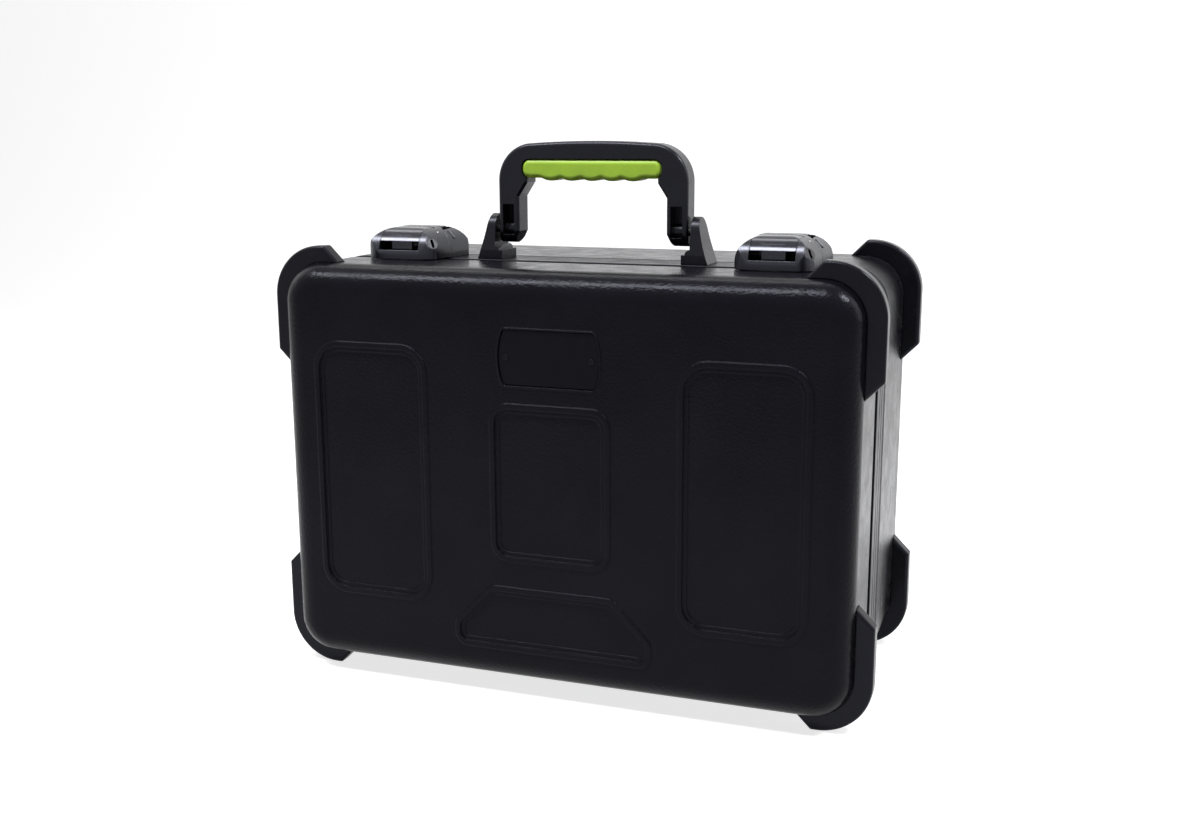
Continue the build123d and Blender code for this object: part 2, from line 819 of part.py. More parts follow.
handle_back = handle_front + handle_depth
web_front = handle_pivot_y - web_thickness / 2
web_back = handle_pivot_y + web_thickness / 2
with BuildPart() as handle_frame:
    extrude(frame_outline(handle_back), amount=handle_depth)
    face_edges = handle_frame.edges().group_by(Axis.Y)
    fillet(face_edges[0] + face_edges[-1], handle_round)
    with BuildSketch(side_plane(-handle_half_width)):
        handle_rise = handle_top_up + handle_crown - handle_pivot_up
        with Locations((handle_pivot_y, handle_pivot_z)):
            Circle(handle_depth / 2)
        with Locations((handle_pivot_y, handle_pivot_z + handle_rise / 2)):
            Rectangle(handle_depth, handle_rise)
    extrude(amount=2 * handle_half_width, mode=Mode.INTERSECT)
    extrude(grip_outline(web_front, grip_fit), amount=handle_depth, mode=Mode.SUBTRACT)
    extrude(grip_outline(web_back, grip_fit), amount=-handle_depth, mode=Mode.SUBTRACT)
    for side in SIDES.values():
        window_mid = up((leg_window_low_up + leg_window_high_up) / 2)
        with BuildSketch(front_plane(handle_front + leg_window_depth)):
            with Locations((side * leg_window_x, window_mid)):
                window_height = leg_window_high_up - leg_window_low_up
                RectangleRounded(leg_window_width, window_height, leg_window_corner)
        extrude(amount=leg_window_depth, mode=Mode.SUBTRACT)
        window_low_x = side * leg_window_x - leg_window_width / 2
        knuckle_high_x = window_low_x + leg_window_width
        add(
            cylinder_along_x(
                window_low_x, knuckle_high_x, handle_pivot_y, handle_pivot_z, handle_knuckle_radius
            )
        )
        bore_ends = sorted((side * handle_half_width, side * (handle_half_width - handle_pin_into_leg)))
        bore_radius = handle_pin_radius + handle_running
        bore = cylinder_along_x(*bore_ends, handle_pivot_y, handle_pivot_z, bore_radius)
        add(bore, mode=Mode.SUBTRACT)
save(handle_frame.part, "handle_frame")

with BuildPart() as handle_grip:
    grip_back = handle_pivot_y + grip_depth / 2
    extrude(grip_outline(grip_back, 0), amount=grip_depth)
    face_edges = handle_grip.edges().group_by(Axis.Y)
    fillet(face_edges[0] + face_edges[-1], grip_round)
    with BuildSketch(front_plane(web_back + grip_fit)):
        web_room_height = grip_top_up - web_low_up + grip_fit
        with Locations((0, up(grip_top_up) - web_room_height / 2)):
            Rectangle(2 * grip_half_length, web_room_height)
        end_room = grip_half_length - opening_top_x + grip_fit
        for side in (-1, 1):
            with Locations((side * (grip_half_length - end_room / 2), up(grip_top_up) - grip_height / 2)):
                Rectangle(end_room, grip_height)
    extrude(amount=web_thickness + 2 * grip_fit, mode=Mode.SUBTRACT)
save(handle_grip.part, "handle_grip")


def handle_bracket(side):
    """Curved ear that carries one end of the handle, on a foot that reaches under the leg."""
    foot_in = bracket_inner - bracket_base_in
    foot_top = up(bracket_foot_height)
    hollow_top = up(bracket_foot_height + bracket_hollow)
    ear_top = up(handle_pivot_up + bracket_top_radius)
    with BuildPart() as bracket:
        with BuildSketch(front_plane(handle_pivot_y + bracket_foot_depth / 2)):
            with BuildLine():
                Polyline(
                    (side * (bracket_inner + bracket_top_width), ear_top),
                    (side * bracket_inner, ear_top),
                    (side * bracket_inner, hollow_top),
                )
                RadiusArc(
                    (side * bracket_inner, hollow_top),
                    (side * (bracket_inner - bracket_hollow), foot_top),
                    -side * bracket_hollow,
                )
                Polyline(
                    (side * (bracket_inner - bracket_hollow), foot_top),
                    (side * foot_in, foot_top),
                    (side * foot_in, body_top),
                    (side * bracket_outer, body_top),
                )
                ThreePointArc(
                    (side * bracket_outer, body_top),
                    (side * (bracket_inner + bracket_waist_width), up(bracket_waist_up)),
                    (side * (bracket_inner + bracket_top_width), ear_top),
                )
            make_face()
        extrude(amount=bracket_foot_depth)
        with BuildSketch(side_plane(side * foot_in)):
            with BuildLine():
                half_foot = bracket_foot_depth / 2
                Polyline(
                    (handle_pivot_y - half_foot, foot_top),
                    (handle_pivot_y - half_foot, body_top),
                    (handle_pivot_y + half_foot, body_top),
                    (handle_pivot_y + half_foot, foot_top),
                )
                CenterArc((handle_pivot_y, handle_pivot_z), bracket_top_radius, 0, 180)
            make_hull()
        extrude(amount=side * (bracket_base_in + bracket_base_out), mode=Mode.INTERSECT)
        bore_ends = sorted((side * bracket_inner, side * (bracket_inner + handle_pin_hold)))
        bore = cylinder_along_x(*bore_ends, handle_pivot_y, handle_pivot_z, handle_pin_radius + screw_fit)
        add(bore, mode=Mode.SUBTRACT)
        add(screw_holes(bracket_screw_points, (0, 0, 1), bracket_screw_length), mode=Mode.SUBTRACT)
    return bracket.part


for side_name, side in SIDES.items():
    save(handle_bracket(side), f"handle_bracket_{side_name}")
    pin_ends = (
        side * (handle_half_width - handle_pin_into_leg + handle_running),
        side * (bracket_inner + handle_pin_hold),
    )
    pin = cylinder_along_x(*sorted(pin_ends), handle_pivot_y, handle_pivot_z, handle_pin_radius)
    save(pin, f"handle_pin_{side_name}")
bracket_screws = countersunk_screws(bracket_screw_points, (0, 0, 1), bracket_screw_length)
save(bracket_screws, "handle_bracket_screws")


# ---------------------------------------------------------------- latches
def latch_half_at(y):
    """Half width of the latch's plan at depth y."""
    share = (y - latch_front) / (latch_back - latch_front)
    return latch_front_half + share * (latch_back_half - latch_front_half)


def dome_section(y):
    """Section across the latch at depth y: straight foot, round shoulders, flat crown."""
    with BuildSketch(front_plane(y)) as section:
        with Locations((0, body_top + (latch_height - cut_over) / 2)):
            Rectangle(2 * latch_half_at(y), latch_height + cut_over)
        fillet(section.vertices().group_by(Axis.Y)[-1], latch_dome_radius)
    return section.sketch


def latch_pod():
    """Whole outer form of a latch, closed, standing in the middle of the case's width."""
    with BuildPart() as pod:
        loft([dome_section(past_front), dome_section(past_back)], ruled=True)
        with BuildSketch(Plane.XY.offset(body_top)) as plan:
            front_half = latch_front_half + face_offset
            back_half = latch_back_half + face_offset
            Polygon(
                (-front_half, latch_front),
                (front_half, latch_front),
                (back_half, latch_back),
                (-back_half, latch_back),
                align=None,
            )
            fillet(plan.vertices().group_by(Axis.Y)[0], latch_corner_radius)
            fillet(plan.vertices().group_by(Axis.Y)[-1], latch_back_corner)
        extrude(amount=latch_height + cut_over, mode=Mode.INTERSECT)
        with BuildSketch(side_plane(pod_width[0])) as profile:
            with BuildLine():
                front, top = latch_front - face_offset, latch_top + face_offset
                Polyline((front, below), (past_back, below), (past_back, top), (front, top), close=True)
            make_face()
            fillet(profile.vertices().sort_by_distance((front, top, 0))[0], latch_dome_radius)
        extrude(amount=pod_width[1] - pod_width[0], mode=Mode.INTERSECT)
    return pod.part


def box_between(x_range, y_range, z_range):
    """Plain block between three pairs of limits."""
    with BuildPart() as block:
        with BuildSketch(Plane.XY.offset(z_range[0])):
            with Locations((sum(x_range) / 2, sum(y_range) / 2)):
                Rectangle(x_range[1] - x_range[0], y_range[1] - y_range[0])
        extrude(amount=z_range[1] - z_range[0])
    return block.part


def barrel(radius):
    """Round barrel about the latch's pivot, wider than the latch."""
    return cylinder_along_x(*pod_width, latch_pivot_y, latch_pivot_z, radius)


latch_top = body_top + latch_height
pod_width = (-latch_back_half - cut_over, latch_back_half + cut_over)
past_front = latch_front - cut_over
past_back = latch_back + cut_over
below = body_top - cut_over
above = latch_top + cut_over
pod = latch_pod()
lock_direction = Vector(
    cos(radians(lock_tilt)) * cos(radians(lock_yaw)),
    -cos(radians(lock_tilt)) * sin(radians(lock_yaw)),
    sin(radians(lock_tilt)),
)
lock_plane = Plane(
    origin=(lock_x, latch_front + lock_back, body_top + lock_up),
    x_dir=Vector(0, 0, 1).cross(lock_direction),
    z_dir=lock_direction,
)
indicator_y = latch_pivot_y - indicator_forward
indicator_dome_x = latch_half_at(indicator_y) - latch_dome_radius
indicator_sine = (indicator_up - (latch_height - latch_dome_radius)) / latch_dome_radius
indicator_normal = Vector(sqrt(1 - indicator_sine**2), 0, indicator_sine)
indicator_plane = Plane(
    origin=(
        indicator_dome_x + latch_dome_radius * indicator_normal.X,
        indicator_y,
        body_top + indicator_up,
    ),
    x_dir=(-indicator_normal.Z, 0, indicator_normal.X),
    z_dir=indicator_normal,
)
local_latch_screws = [(x, y, band_inner_top) for x, y in latch_screw_offsets]

with BuildPart() as housing:
    add(pod)
    with BuildPart(mode=Mode.PRIVATE) as keep:
        rounding = barrel_radius - face_offset
        add(barrel(rounding))
        add(box_between(pod_width, (latch_pivot_y, latch_pivot_y + rounding), (below, latch_pivot_z)))
    add(keep.part, mode=Mode.INTERSECT)
    for side in (-1, 1):
        slot_x = (
            side * arm_offset - arm_width / 2 - latch_gap,
            side * arm_offset + arm_width / 2 + latch_gap,
        )
        slot_back = latch_pivot_y + arm_radius + latch_gap
        slot_floor = latch_pivot_z - arm_radius - latch_gap
        slot = box_between(slot_x, (past_front, slot_back), (slot_floor, above))
        add(slot, mode=Mode.SUBTRACT)
    pin_reach = arm_offset + arm_width / 2 + trigger_pin_hold
    pivot_bore = cylinder_along_x(
        -pin_reach, pin_reach, latch_pivot_y, latch_pivot_z, lever_pin_radius + screw_fit
    )
    add(pivot_bore, mode=Mode.SUBTRACT)
    add(screw_holes(local_latch_screws, (0, 0, 1), latch_screw_length), mode=Mode.SUBTRACT)
    with BuildSketch(indicator_plane.offset(-indicator_depth)):
        SlotOverall(indicator_length + 2 * indicator_fit, indicator_width + 2 * indicator_fit)
    extrude(amount=2 * indicator_depth, mode=Mode.SUBTRACT)

with BuildPart() as indicator:
    with BuildSketch(indicator_plane.offset(-indicator_depth)):
        SlotOverall(indicator_length, indicator_width)
    extrude(amount=indicator_depth + indicator_proud)
    fillet(indicator.faces().sort_by(Axis.Z)[-1].edges(), indicator_proud)

skin_end = latch_pivot_y - skin_forward
trigger_room_back = trigger_pivot_y + trigger_knuckle + latch_gap
cavity_x = (-window_half, window_half)
with BuildPart() as lever:
    add(pod)
    add(barrel(barrel_radius + latch_gap), mode=Mode.SUBTRACT)
    rim_inside = latch_front + rim_wall
    for room in (
        box_between(pod_width, (skin_end, past_back), (below, above)),
        box_between(pod_width, (past_front, past_back), (below, up(lever_floor))),
        box_between(cavity_x, (rim_inside, past_back), (below, up(cavity_height))),
        box_between(cavity_x, (rim_inside, trigger_room_back), (below, above)),
        box_between(cavity_x, (past_front, trigger_room_back), (up(rim_height), above)),
    ):
        add(room, mode=Mode.SUBTRACT)
    for side in (-1, 1):
        with BuildSketch(side_plane(side * arm_offset - arm_width / 2)):
            with Locations((latch_pivot_y, latch_pivot_z)):
                Circle(arm_radius)
            arm_front = latch_pivot_y - barrel_radius - latch_gap - arm_into_lever
            with Locations(((arm_front + latch_pivot_y) / 2, latch_pivot_z)):
                Rectangle(latch_pivot_y - arm_front, 2 * arm_radius)
        extrude(amount=arm_width)
    lever_bore = cylinder_along_x(
        -pin_reach, pin_reach, latch_pivot_y, latch_pivot_z, lever_pin_radius + trigger_running
    )
    add(lever_bore, mode=Mode.SUBTRACT)
    trigger_reach = window_half + trigger_pin_hold
    trigger_hole = cylinder_along_x(
        -trigger_reach, trigger_reach, trigger_pivot_y, trigger_pivot_z, trigger_pin_radius + screw_fit
    )
    add(trigger_hole, mode=Mode.SUBTRACT)
    with BuildSketch(lock_plane):
        Circle(lock_face_radius)
    extrude(amount=latch_height, mode=Mode.SUBTRACT)
    with BuildSketch(lock_plane):
        Circle(lock_radius + lock_running)
    extrude(amount=-lock_length - lock_running, mode=Mode.SUBTRACT)

claw_low = body_top + claw_gap
shoulder_y = latch_front + latch_dome_radius
shoulder_z = latch_top - latch_dome_radius
flap_low = up(flap_low_up)
flap_rise = flap_low - shoulder_z
skin_radius = latch_dome_radius - flap_skin
flap_outer_y = shoulder_y - sqrt(latch_dome_radius**2 - flap_rise**2)
flap_inner_y = shoulder_y - sqrt(skin_radius**2 - flap_rise**2)
flap_half = window_half - latch_gap
with BuildPart() as trigger:
    with BuildSketch(side_plane(-flap_half)):
        with BuildLine():
            RadiusArc((flap_outer_y, flap_low), (shoulder_y, latch_top), latch_dome_radius)
            Polyline(
                (shoulder_y, latch_top),
                (trigger_pivot_y, latch_top),
                (trigger_pivot_y, latch_top - flap_skin),
                (shoulder_y, latch_top - flap_skin),
            )
            RadiusArc((flap_inner_y, flap_low), (shoulder_y, latch_top - flap_skin), skin_radius)
            Line((flap_inner_y, flap_low), (flap_outer_y, flap_low))
        make_face()
        with Locations((trigger_pivot_y, trigger_pivot_z)):
            Circle(trigger_knuckle)
    extrude(amount=2 * flap_half)
    claw_front = strike_mid_y - claw_thickness / 2
    claw_back = strike_mid_y + claw_thickness / 2
    with BuildPart(mode=Mode.PRIVATE) as claw:
        claw_x = (-claw_half_width, claw_half_width)
        add(box_between(claw_x, (claw_front, claw_back), (claw_low, latch_top - flap_skin)))
        fillet(claw.edges().filter_by(Axis.X).group_by(Axis.Z)[0], claw_round)
    add(claw.part)
    add(pod, mode=Mode.INTERSECT)
    trigger_bore = cylinder_along_x(
        -flap_half, flap_half, trigger_pivot_y, trigger_pivot_z, trigger_pin_radius + trigger_running
    )
    add(trigger_bore, mode=Mode.SUBTRACT)

with BuildPart() as lock_cylinder:
    with BuildSketch(lock_plane):
        Circle(lock_radius)
    extrude(amount=-lock_length)
    face_edge = lock_cylinder.edges().sort_by(lambda edge: edge.center().dot(lock_direction))[-1]
    fillet(face_edge, lock_edge_round)
    with BuildSketch(lock_plane):
        SlotOverall(key_slot_length, key_slot_width, rotation=90)
    extrude(amount=-key_slot_depth, mode=Mode.SUBTRACT)

latch_pin = cylinder_along_x(-pin_reach, pin_reach, latch_pivot_y, latch_pivot_z, lever_pin_radius)
trigger_pin = cylinder_along_x(
    -trigger_reach, trigger_reach, trigger_pivot_y, trigger_pivot_z, trigger_pin_radius
)

with BuildPart() as strike_plate:
    with BuildSketch(Plane.XY.offset(body_top)):
        with Locations((0, strike_mid_y)):
            RectangleRounded(strike_length, strike_width, strike_radius)
            RectangleRounded(strike_slot_length, strike_slot_width, strike_radius, mode=Mode.SUBTRACT)
    extrude(amount=-strike_thickness)
    add(screw_holes(strike_screw_offsets, (0, 0, -1), wall), mode=Mode.SUBTRACT)

latch_pieces = {
    "housing": housing.part,
    "indicator": indicator.part,
    "pivot_pin": latch_pin,
    "lever": lever.part,
    "trigger": trigger.part,
    "trigger_pin": trigger_pin,
    "lock_cylinder": lock_cylinder.part,
}
for side_name, side in SIDES.items():
    shift = Pos(side * latch_x, 0, 0)
    for piece_name, piece in latch_pieces.items():
        save(shift * piece, f"latch_{side_name}_{piece_name}")
    save(shift * strike_plate.part, f"strike_plate_{side_name}")
save(countersunk_screws(latch_screw_points, (0, 0, 1), latch_screw_length), "latch_housing_screws")
save(countersunk_screws(strike_screw_points, (0, 0, -1), wall), "strike_plate_screws")
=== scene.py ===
"""Looks of the microphone case: surface finishes, foam linings, studio and camera.

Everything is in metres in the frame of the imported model: X runs across the front, Y from the
lid to the back, Z up, with the floor at zero.
"""

import json
import math

import bpy
from mathutils import Matrix, Vector, noise


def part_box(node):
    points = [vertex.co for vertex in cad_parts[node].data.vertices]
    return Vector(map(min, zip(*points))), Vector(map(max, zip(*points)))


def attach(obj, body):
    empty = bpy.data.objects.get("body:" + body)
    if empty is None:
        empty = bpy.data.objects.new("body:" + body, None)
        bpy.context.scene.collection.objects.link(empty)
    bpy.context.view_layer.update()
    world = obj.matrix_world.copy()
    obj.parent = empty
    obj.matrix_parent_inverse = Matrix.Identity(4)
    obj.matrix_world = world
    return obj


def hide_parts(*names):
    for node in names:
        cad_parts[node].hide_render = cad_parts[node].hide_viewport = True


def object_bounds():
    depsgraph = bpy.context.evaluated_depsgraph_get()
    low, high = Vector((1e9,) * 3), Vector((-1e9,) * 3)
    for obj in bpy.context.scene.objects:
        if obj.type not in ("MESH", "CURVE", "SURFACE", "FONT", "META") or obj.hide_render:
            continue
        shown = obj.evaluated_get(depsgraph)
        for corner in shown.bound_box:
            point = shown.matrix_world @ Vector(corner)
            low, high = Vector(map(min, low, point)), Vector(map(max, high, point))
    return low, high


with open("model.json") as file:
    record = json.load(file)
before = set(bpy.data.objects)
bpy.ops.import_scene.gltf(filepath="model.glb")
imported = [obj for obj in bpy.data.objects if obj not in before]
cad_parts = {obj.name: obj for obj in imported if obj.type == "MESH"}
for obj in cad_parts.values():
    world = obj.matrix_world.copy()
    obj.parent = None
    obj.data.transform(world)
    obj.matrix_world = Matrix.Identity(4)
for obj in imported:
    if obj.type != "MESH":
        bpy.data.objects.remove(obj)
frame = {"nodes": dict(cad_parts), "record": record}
cad_low, cad_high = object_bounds()

# ---------------------------------------------------------------- sizes
MM = 0.001

# Camera, solved from the edges of the case in the photograph
CAMERA_PLACE = Vector((0.3290, -0.9174, 0.3865))
CAMERA_YAW = math.radians(-19.867)
CAMERA_PITCH = math.radians(-11.959)
CAMERA_ROLL = math.radians(0.186)
CAMERA_LENS = 40.62
SENSOR_WIDTH = 36.0
CLIP_START = 0.01
CLIP_END = 50.0

# Foam
BASE_FOAM_VOXEL = 2.5 * MM
LID_FOAM_VOXEL = 3.0 * MM
FOAM_ROUGHNESS = 0.25 * MM
FOAM_ROUGHNESS_SIZE = 6.0 * MM
CRATE_PITCH = 26.0 * MM
CRATE_DEPTH = 11.0 * MM
CRATE_MARGIN = 12.0 * MM

# Settings that the finishes share: the part of a noise that carries its drift, for gloss and colour
BEVEL_SAMPLES = 6
CLOUD_LOW = 0.3
CLOUD_HIGH = 0.7
RAMP_LOW = 0.35
RAMP_HIGH = 0.65

# Colours, linear
BLACK = (0.0032, 0.0030, 0.0047)
SATIN = (0.0045, 0.0044, 0.0062)
PLATE_BLACK = (0.0030, 0.0029, 0.0042)
INDICATOR_GREY = (0.05, 0.05, 0.058)
FOAM_GREY = (0.022, 0.022, 0.025)
LIME = (0.26, 0.42, 0.024)
ZINC = (0.30, 0.30, 0.31)
PLATED_GREY = (0.26, 0.26, 0.27)
TURNED_GREY = (0.34, 0.34, 0.35)
LOCK_GREY = (0.035, 0.035, 0.038)
SCREW_BLACK = (0.012, 0.012, 0.014)
COOL_GLOSS = (0.82, 0.84, 1.0, 1.0)
WHITE = (1.0, 1.0, 1.0, 1.0)
PAPER_COLOR = (0.56, 0.56, 0.57, 1.0)

# Scale of a metal's grain along each axis: a small one draws the grain out into lines
EVEN = (1.0, 1.0, 1.0)
LINES_ALONG_X = (0.15, 1.0, 1.0)
LINES_AROUND_X = (1.0, 0.15, 0.15)


# ---------------------------------------------------------------- materials
class Finish:
    """A node material on one Principled shader, with the few steps that all the finishes share."""

    def __init__(self, name, color, roughness, metallic=0.0):
        self.material = bpy.data.materials.new(name)
        self.material.use_nodes = True
        self.tree = self.material.node_tree
        self.shader = self.tree.nodes["Principled BSDF"]
        self.shader.inputs["Base Color"].default_value = (*color, 1.0)
        self.shader.inputs["Roughness"].default_value = roughness
        self.shader.inputs["Metallic"].default_value = metallic
        self.color = color
        self.roughness = roughness
        self.place = self.tree.nodes.new("ShaderNodeTexCoord").outputs["Object"]
        self.height = None

    def soft_edges(self, radius):
        """Edges broken by radius, as a mould breaks them."""
        bevel = self.node("ShaderNodeBevel", {"samples": BEVEL_SAMPLES}, Radius=radius)
        self.height = bevel.outputs["Normal"]
        self.tree.links.new(self.height, self.shader.inputs["Normal"])

    def node(self, kind, settings=None, **inputs):
        """New node with its settings and inputs, each input a number or another node's output."""
        made = self.tree.nodes.new(kind)
        for key, value in (settings or {}).items():
            setattr(made, key, value)
        for key, value in inputs.items():
            socket = made.inputs[key.replace("_", " ")]
            if isinstance(value, bpy.types.NodeSocket):
                self.tree.links.new(value, socket)
            else:
                socket.default_value = value
        return made

    def stretched(self, stretch):
        """Object place scaled per axis, for grain that runs one way."""
        mapping = self.tree.nodes.new("ShaderNodeMapping")
        mapping.inputs["Scale"].default_value = stretch
        self.tree.links.new(self.place, mapping.inputs["Vector"])
        return mapping.outputs["Vector"]

    def cloud(self, size, detail=3.0, stretch=None):
        """Noise from 0 to 1 whose blotches are about size metres wide."""
        vector = self.stretched(stretch) if stretch else self.place
        made = self.node("ShaderNodeTexNoise", Vector=vector, Scale=1 / size, Detail=detail)
        return made.outputs["Fac"]

    def cells(self, size, smoothness=0.5):
        """Rounded cells of about size metres, as pebble grain has."""
        made = self.node(
            "ShaderNodeTexVoronoi",
            {"feature": "SMOOTH_F1"},
            Vector=self.place,
            Scale=1 / size,
            Smoothness=smoothness,
        )
        return made.outputs["Distance"]

    def ranged(self, value, low, high):
        """A cloud's value taken to the range low to high."""
        made = self.node("ShaderNodeMapRange", Value=value)
        made.inputs["From Min"].default_value = CLOUD_LOW
        made.inputs["From Max"].default_value = CLOUD_HIGH
        made.inputs["To Min"].default_value = low
        made.inputs["To Max"].default_value = high
        return made.outputs["Result"]

    def vary_color(self, value, share):
        """Base colour that drifts by share between darker and lighter."""
        ramp = self.node("ShaderNodeValToRGB", Fac=value)
        stops = ramp.color_ramp.elements
        stops[0].position = RAMP_LOW
        stops[1].position = RAMP_HIGH
        stops[0].color = (*(c * (1 - share) for c in self.color), 1.0)
        stops[1].color = (*(c * (1 + share) for c in self.color), 1.0)
        self.tree.links.new(ramp.outputs["Color"], self.shader.inputs["Base Color"])

    def vary_roughness(self, value, spread):
        """Roughness that drifts by spread either way."""
        ranged = self.ranged(value, self.roughness - spread, self.roughness + spread)
        self.tree.links.new(ranged, self.shader.inputs["Roughness"])

    def relief(self, value, distance):
        """Bump of the given height in metres, laid over the reliefs before it."""
        bump = self.node("ShaderNodeBump", Height=value, Distance=distance)
        if self.height is not None:
            self.tree.links.new(self.height, bump.inputs["Normal"])
        self.height = bump.outputs["Normal"]
        self.tree.links.new(self.height, self.shader.inputs["Normal"])


def moulded(name, color, roughness, grain, grain_height, gloss, edge=0.0):
    """Moulded polymer with pebble grain, drifting gloss, a faint colour drift and broken edges."""
    finish = Finish(name, color, roughness)
    finish.shader.inputs["Specular IOR Level"].default_value = gloss
    finish.shader.inputs["Specular Tint"].default_value = COOL_GLOSS
    if edge:
        finish.soft_edges(edge)
    finish.vary_color(finish.cloud(45 * MM, 4.0), 0.18)
    finish.vary_roughness(finish.cloud(14 * MM, 5.0), 0.05)
    finish.relief(finish.cells(grain), grain_height)
    finish.relief(finish.cloud(grain * 0.6, 2.0), grain_height * 0.6)
    return finish.material


def metal(name, color, roughness, stretch):
    """Plated steel with fine lines along one axis and small dull spots."""
    finish = Finish(name, color, roughness, metallic=1.0)
    lines = finish.cloud(0.5 * MM, 2.0, stretch)
    finish.vary_roughness(lines, 0.08)
    finish.vary_color(finish.cloud(6 * MM, 4.0), 0.10)
    finish.relief(lines, 0.02 * MM)
    return finish.material


def foam():
    """Open-cell foam: dark, dull and finely pitted."""
    finish = Finish("foam", FOAM_GREY, 0.95)
    finish.shader.inputs["Sheen Weight"].default_value = 0.25
    finish.shader.inputs["Sheen Roughness"].default_value = 0.6
    finish.vary_color(finish.cells(1.1 * MM, 0.2), 0.45)
    finish.relief(finish.cells(0.9 * MM, 0.1), 0.35 * MM)
    finish.relief(finish.cloud(5 * MM, 4.0), 0.25 * MM)
    return finish.material


def soft_grip():
    """Lime-green soft grip with a fine matt skin."""
    finish = Finish("soft_grip", LIME, 0.48)
    finish.shader.inputs["Subsurface Weight"].default_value = 0.04
    finish.vary_color(finish.cloud(12 * MM, 3.0), 0.07)
    finish.vary_roughness(finish.cloud(5 * MM, 4.0), 0.06)
    finish.relief(finish.cells(0.45 * MM), 0.03 * MM)
    return finish.material


materials = {
    "shells": moulded(
        "shell_polymer",
        BLACK,
        roughness=0.23,
        grain=1.8 * MM,
        grain_height=0.13 * MM,
        gloss=0.08,
        edge=1.4 * MM,
    ),
    "band": moulded(
        "band_polymer", BLACK, roughness=0.32, grain=0.6 * MM, grain_height=0.04 * MM, gloss=0.12
    ),
    "guards": moulded(
        "guard_polymer",
        BLACK,
        roughness=0.24,
        grain=0.9 * MM,
        grain_height=0.03 * MM,
        gloss=0.14,
        edge=1.2 * MM,
    ),
    "handle": moulded(
        "handle_polymer",
        SATIN,
        roughness=0.27,
        grain=0.6 * MM,
        grain_height=0.02 * MM,
        gloss=0.20,
        edge=0.7 * MM,
    ),
    "latches": moulded(
        "latch_polymer",
        SATIN,
        roughness=0.24,
        grain=0.5 * MM,
        grain_height=0.02 * MM,
        gloss=0.55,
        edge=0.6 * MM,
    ),
    "name_plate": moulded(
        "plate_polymer",
        PLATE_BLACK,
        roughness=0.30,
        grain=0.4 * MM,
        grain_height=0.015 * MM,
        gloss=0.08,
    ),
    "indicator": moulded(
        "indicator_polymer",
        INDICATOR_GREY,
        roughness=0.30,
        grain=0.4 * MM,
        grain_height=0.01 * MM,
        gloss=0.5,
    ),
    "foam": foam(),
    "grip": soft_grip(),
    "screws": metal("zinc_screws", ZINC, 0.36, EVEN),
    "hinges": metal("plated_hinges", PLATED_GREY, 0.38, LINES_ALONG_X),
    "steel_pins": metal("turned_pins", TURNED_GREY, 0.30, LINES_AROUND_X),
    "lock": metal("lock_steel", LOCK_GREY, 0.35, EVEN),
    "strike": metal("strike_steel", ZINC, 0.34, LINES_ALONG_X),
}
blackened = metal("blackened_screws", SCREW_BLACK, 0.34, EVEN)
glossy = moulded(
    "flap_polymer",
    BLACK,
    roughness=0.16,
    grain=0.5 * MM,
    grain_height=0.01 * MM,
    gloss=0.5,
    edge=0.5 * MM,
)
own_finish = {
    "name_plate_screws": blackened,
    "latch_left_trigger": glossy,
    "latch_right_trigger": glossy,
}

slot_of = {part["node"]: part["material_slot"] for part in frame["record"]["subparts"]}
for node, shown in frame["nodes"].items():
    finish = own_finish.get(node, materials[slot_of[node]])
    if shown.material_slots:
        for material_slot in shown.material_slots:
            material_slot.material = finish
    else:
        shown.data.materials.append(finish)


# ---------------------------------------------------------------- foam linings
def remeshed(node, name, voxel):
    """New mesh object grown from a CAD node's form, with even faces of about one voxel."""
    lining = bpy.data.objects.new(name, frame["nodes"][node].data.copy())
    bpy.context.scene.collection.objects.link(lining)
    remesh = lining.modifiers.new("even_faces", "REMESH")
    remesh.mode = "VOXEL"
    remesh.voxel_size = voxel
    smooth = lining.modifiers.new("soft_edges", "SMOOTH")
    smooth.factor = 0.5
    smooth.iterations = 3
    bpy.context.view_layer.update()
    graph = bpy.context.evaluated_depsgraph_get()
    mesh = bpy.data.meshes.new_from_object(lining.evaluated_get(graph))
    lining.modifiers.clear()
    lining.data = mesh
    for polygon in mesh.polygons:
        polygon.use_smooth = True
    return lining


def roughen(mesh):
    """Slight unevenness of cut foam, always inwards so that it stays in its room."""
    normals = [vertex.normal.copy() for vertex in mesh.vertices]
    for vertex, normal in zip(mesh.vertices, normals):
        share = 0.5 + 0.5 * noise.noise(vertex.co / FOAM_ROUGHNESS_SIZE)
        vertex.co -= normal * FOAM_ROUGHNESS * share


def egg_crate(mesh, low, high):
    """Rows of soft peaks cut into the pad's face towards the base, fading out before its edges."""
    centre = (low + high) / 2
    for vertex in mesh.vertices:
        room_x = (high.x - low.x) / 2 - abs(vertex.co.x - centre.x)
        room_z = (high.z - low.z) / 2 - abs(vertex.co.z - centre.z)
        edge_room = min(room_x, room_z)
        fade = min(max((edge_room - CRATE_MARGIN / 2) / CRATE_MARGIN, 0.0), 1.0)
        wave = math.cos(2 * math.pi * (vertex.co.x - centre.x) / CRATE_PITCH)
        wave *= math.cos(2 * math.pi * (vertex.co.z - centre.z) / CRATE_PITCH)
        near_face = min(max((vertex.co.y - low.y) / (high.y - low.y), 0.0), 1.0)
        vertex.co.y -= CRATE_DEPTH * fade * near_face**2 * (0.5 - 0.5 * wave)


base_lining = remeshed("base_foam", "base_foam_lining", BASE_FOAM_VOXEL)
roughen(base_lining.data)

lid_lining = remeshed("lid_foam", "lid_foam_lining", LID_FOAM_VOXEL)
egg_crate(lid_lining.data, *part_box("lid_foam"))
roughen(lid_lining.data)

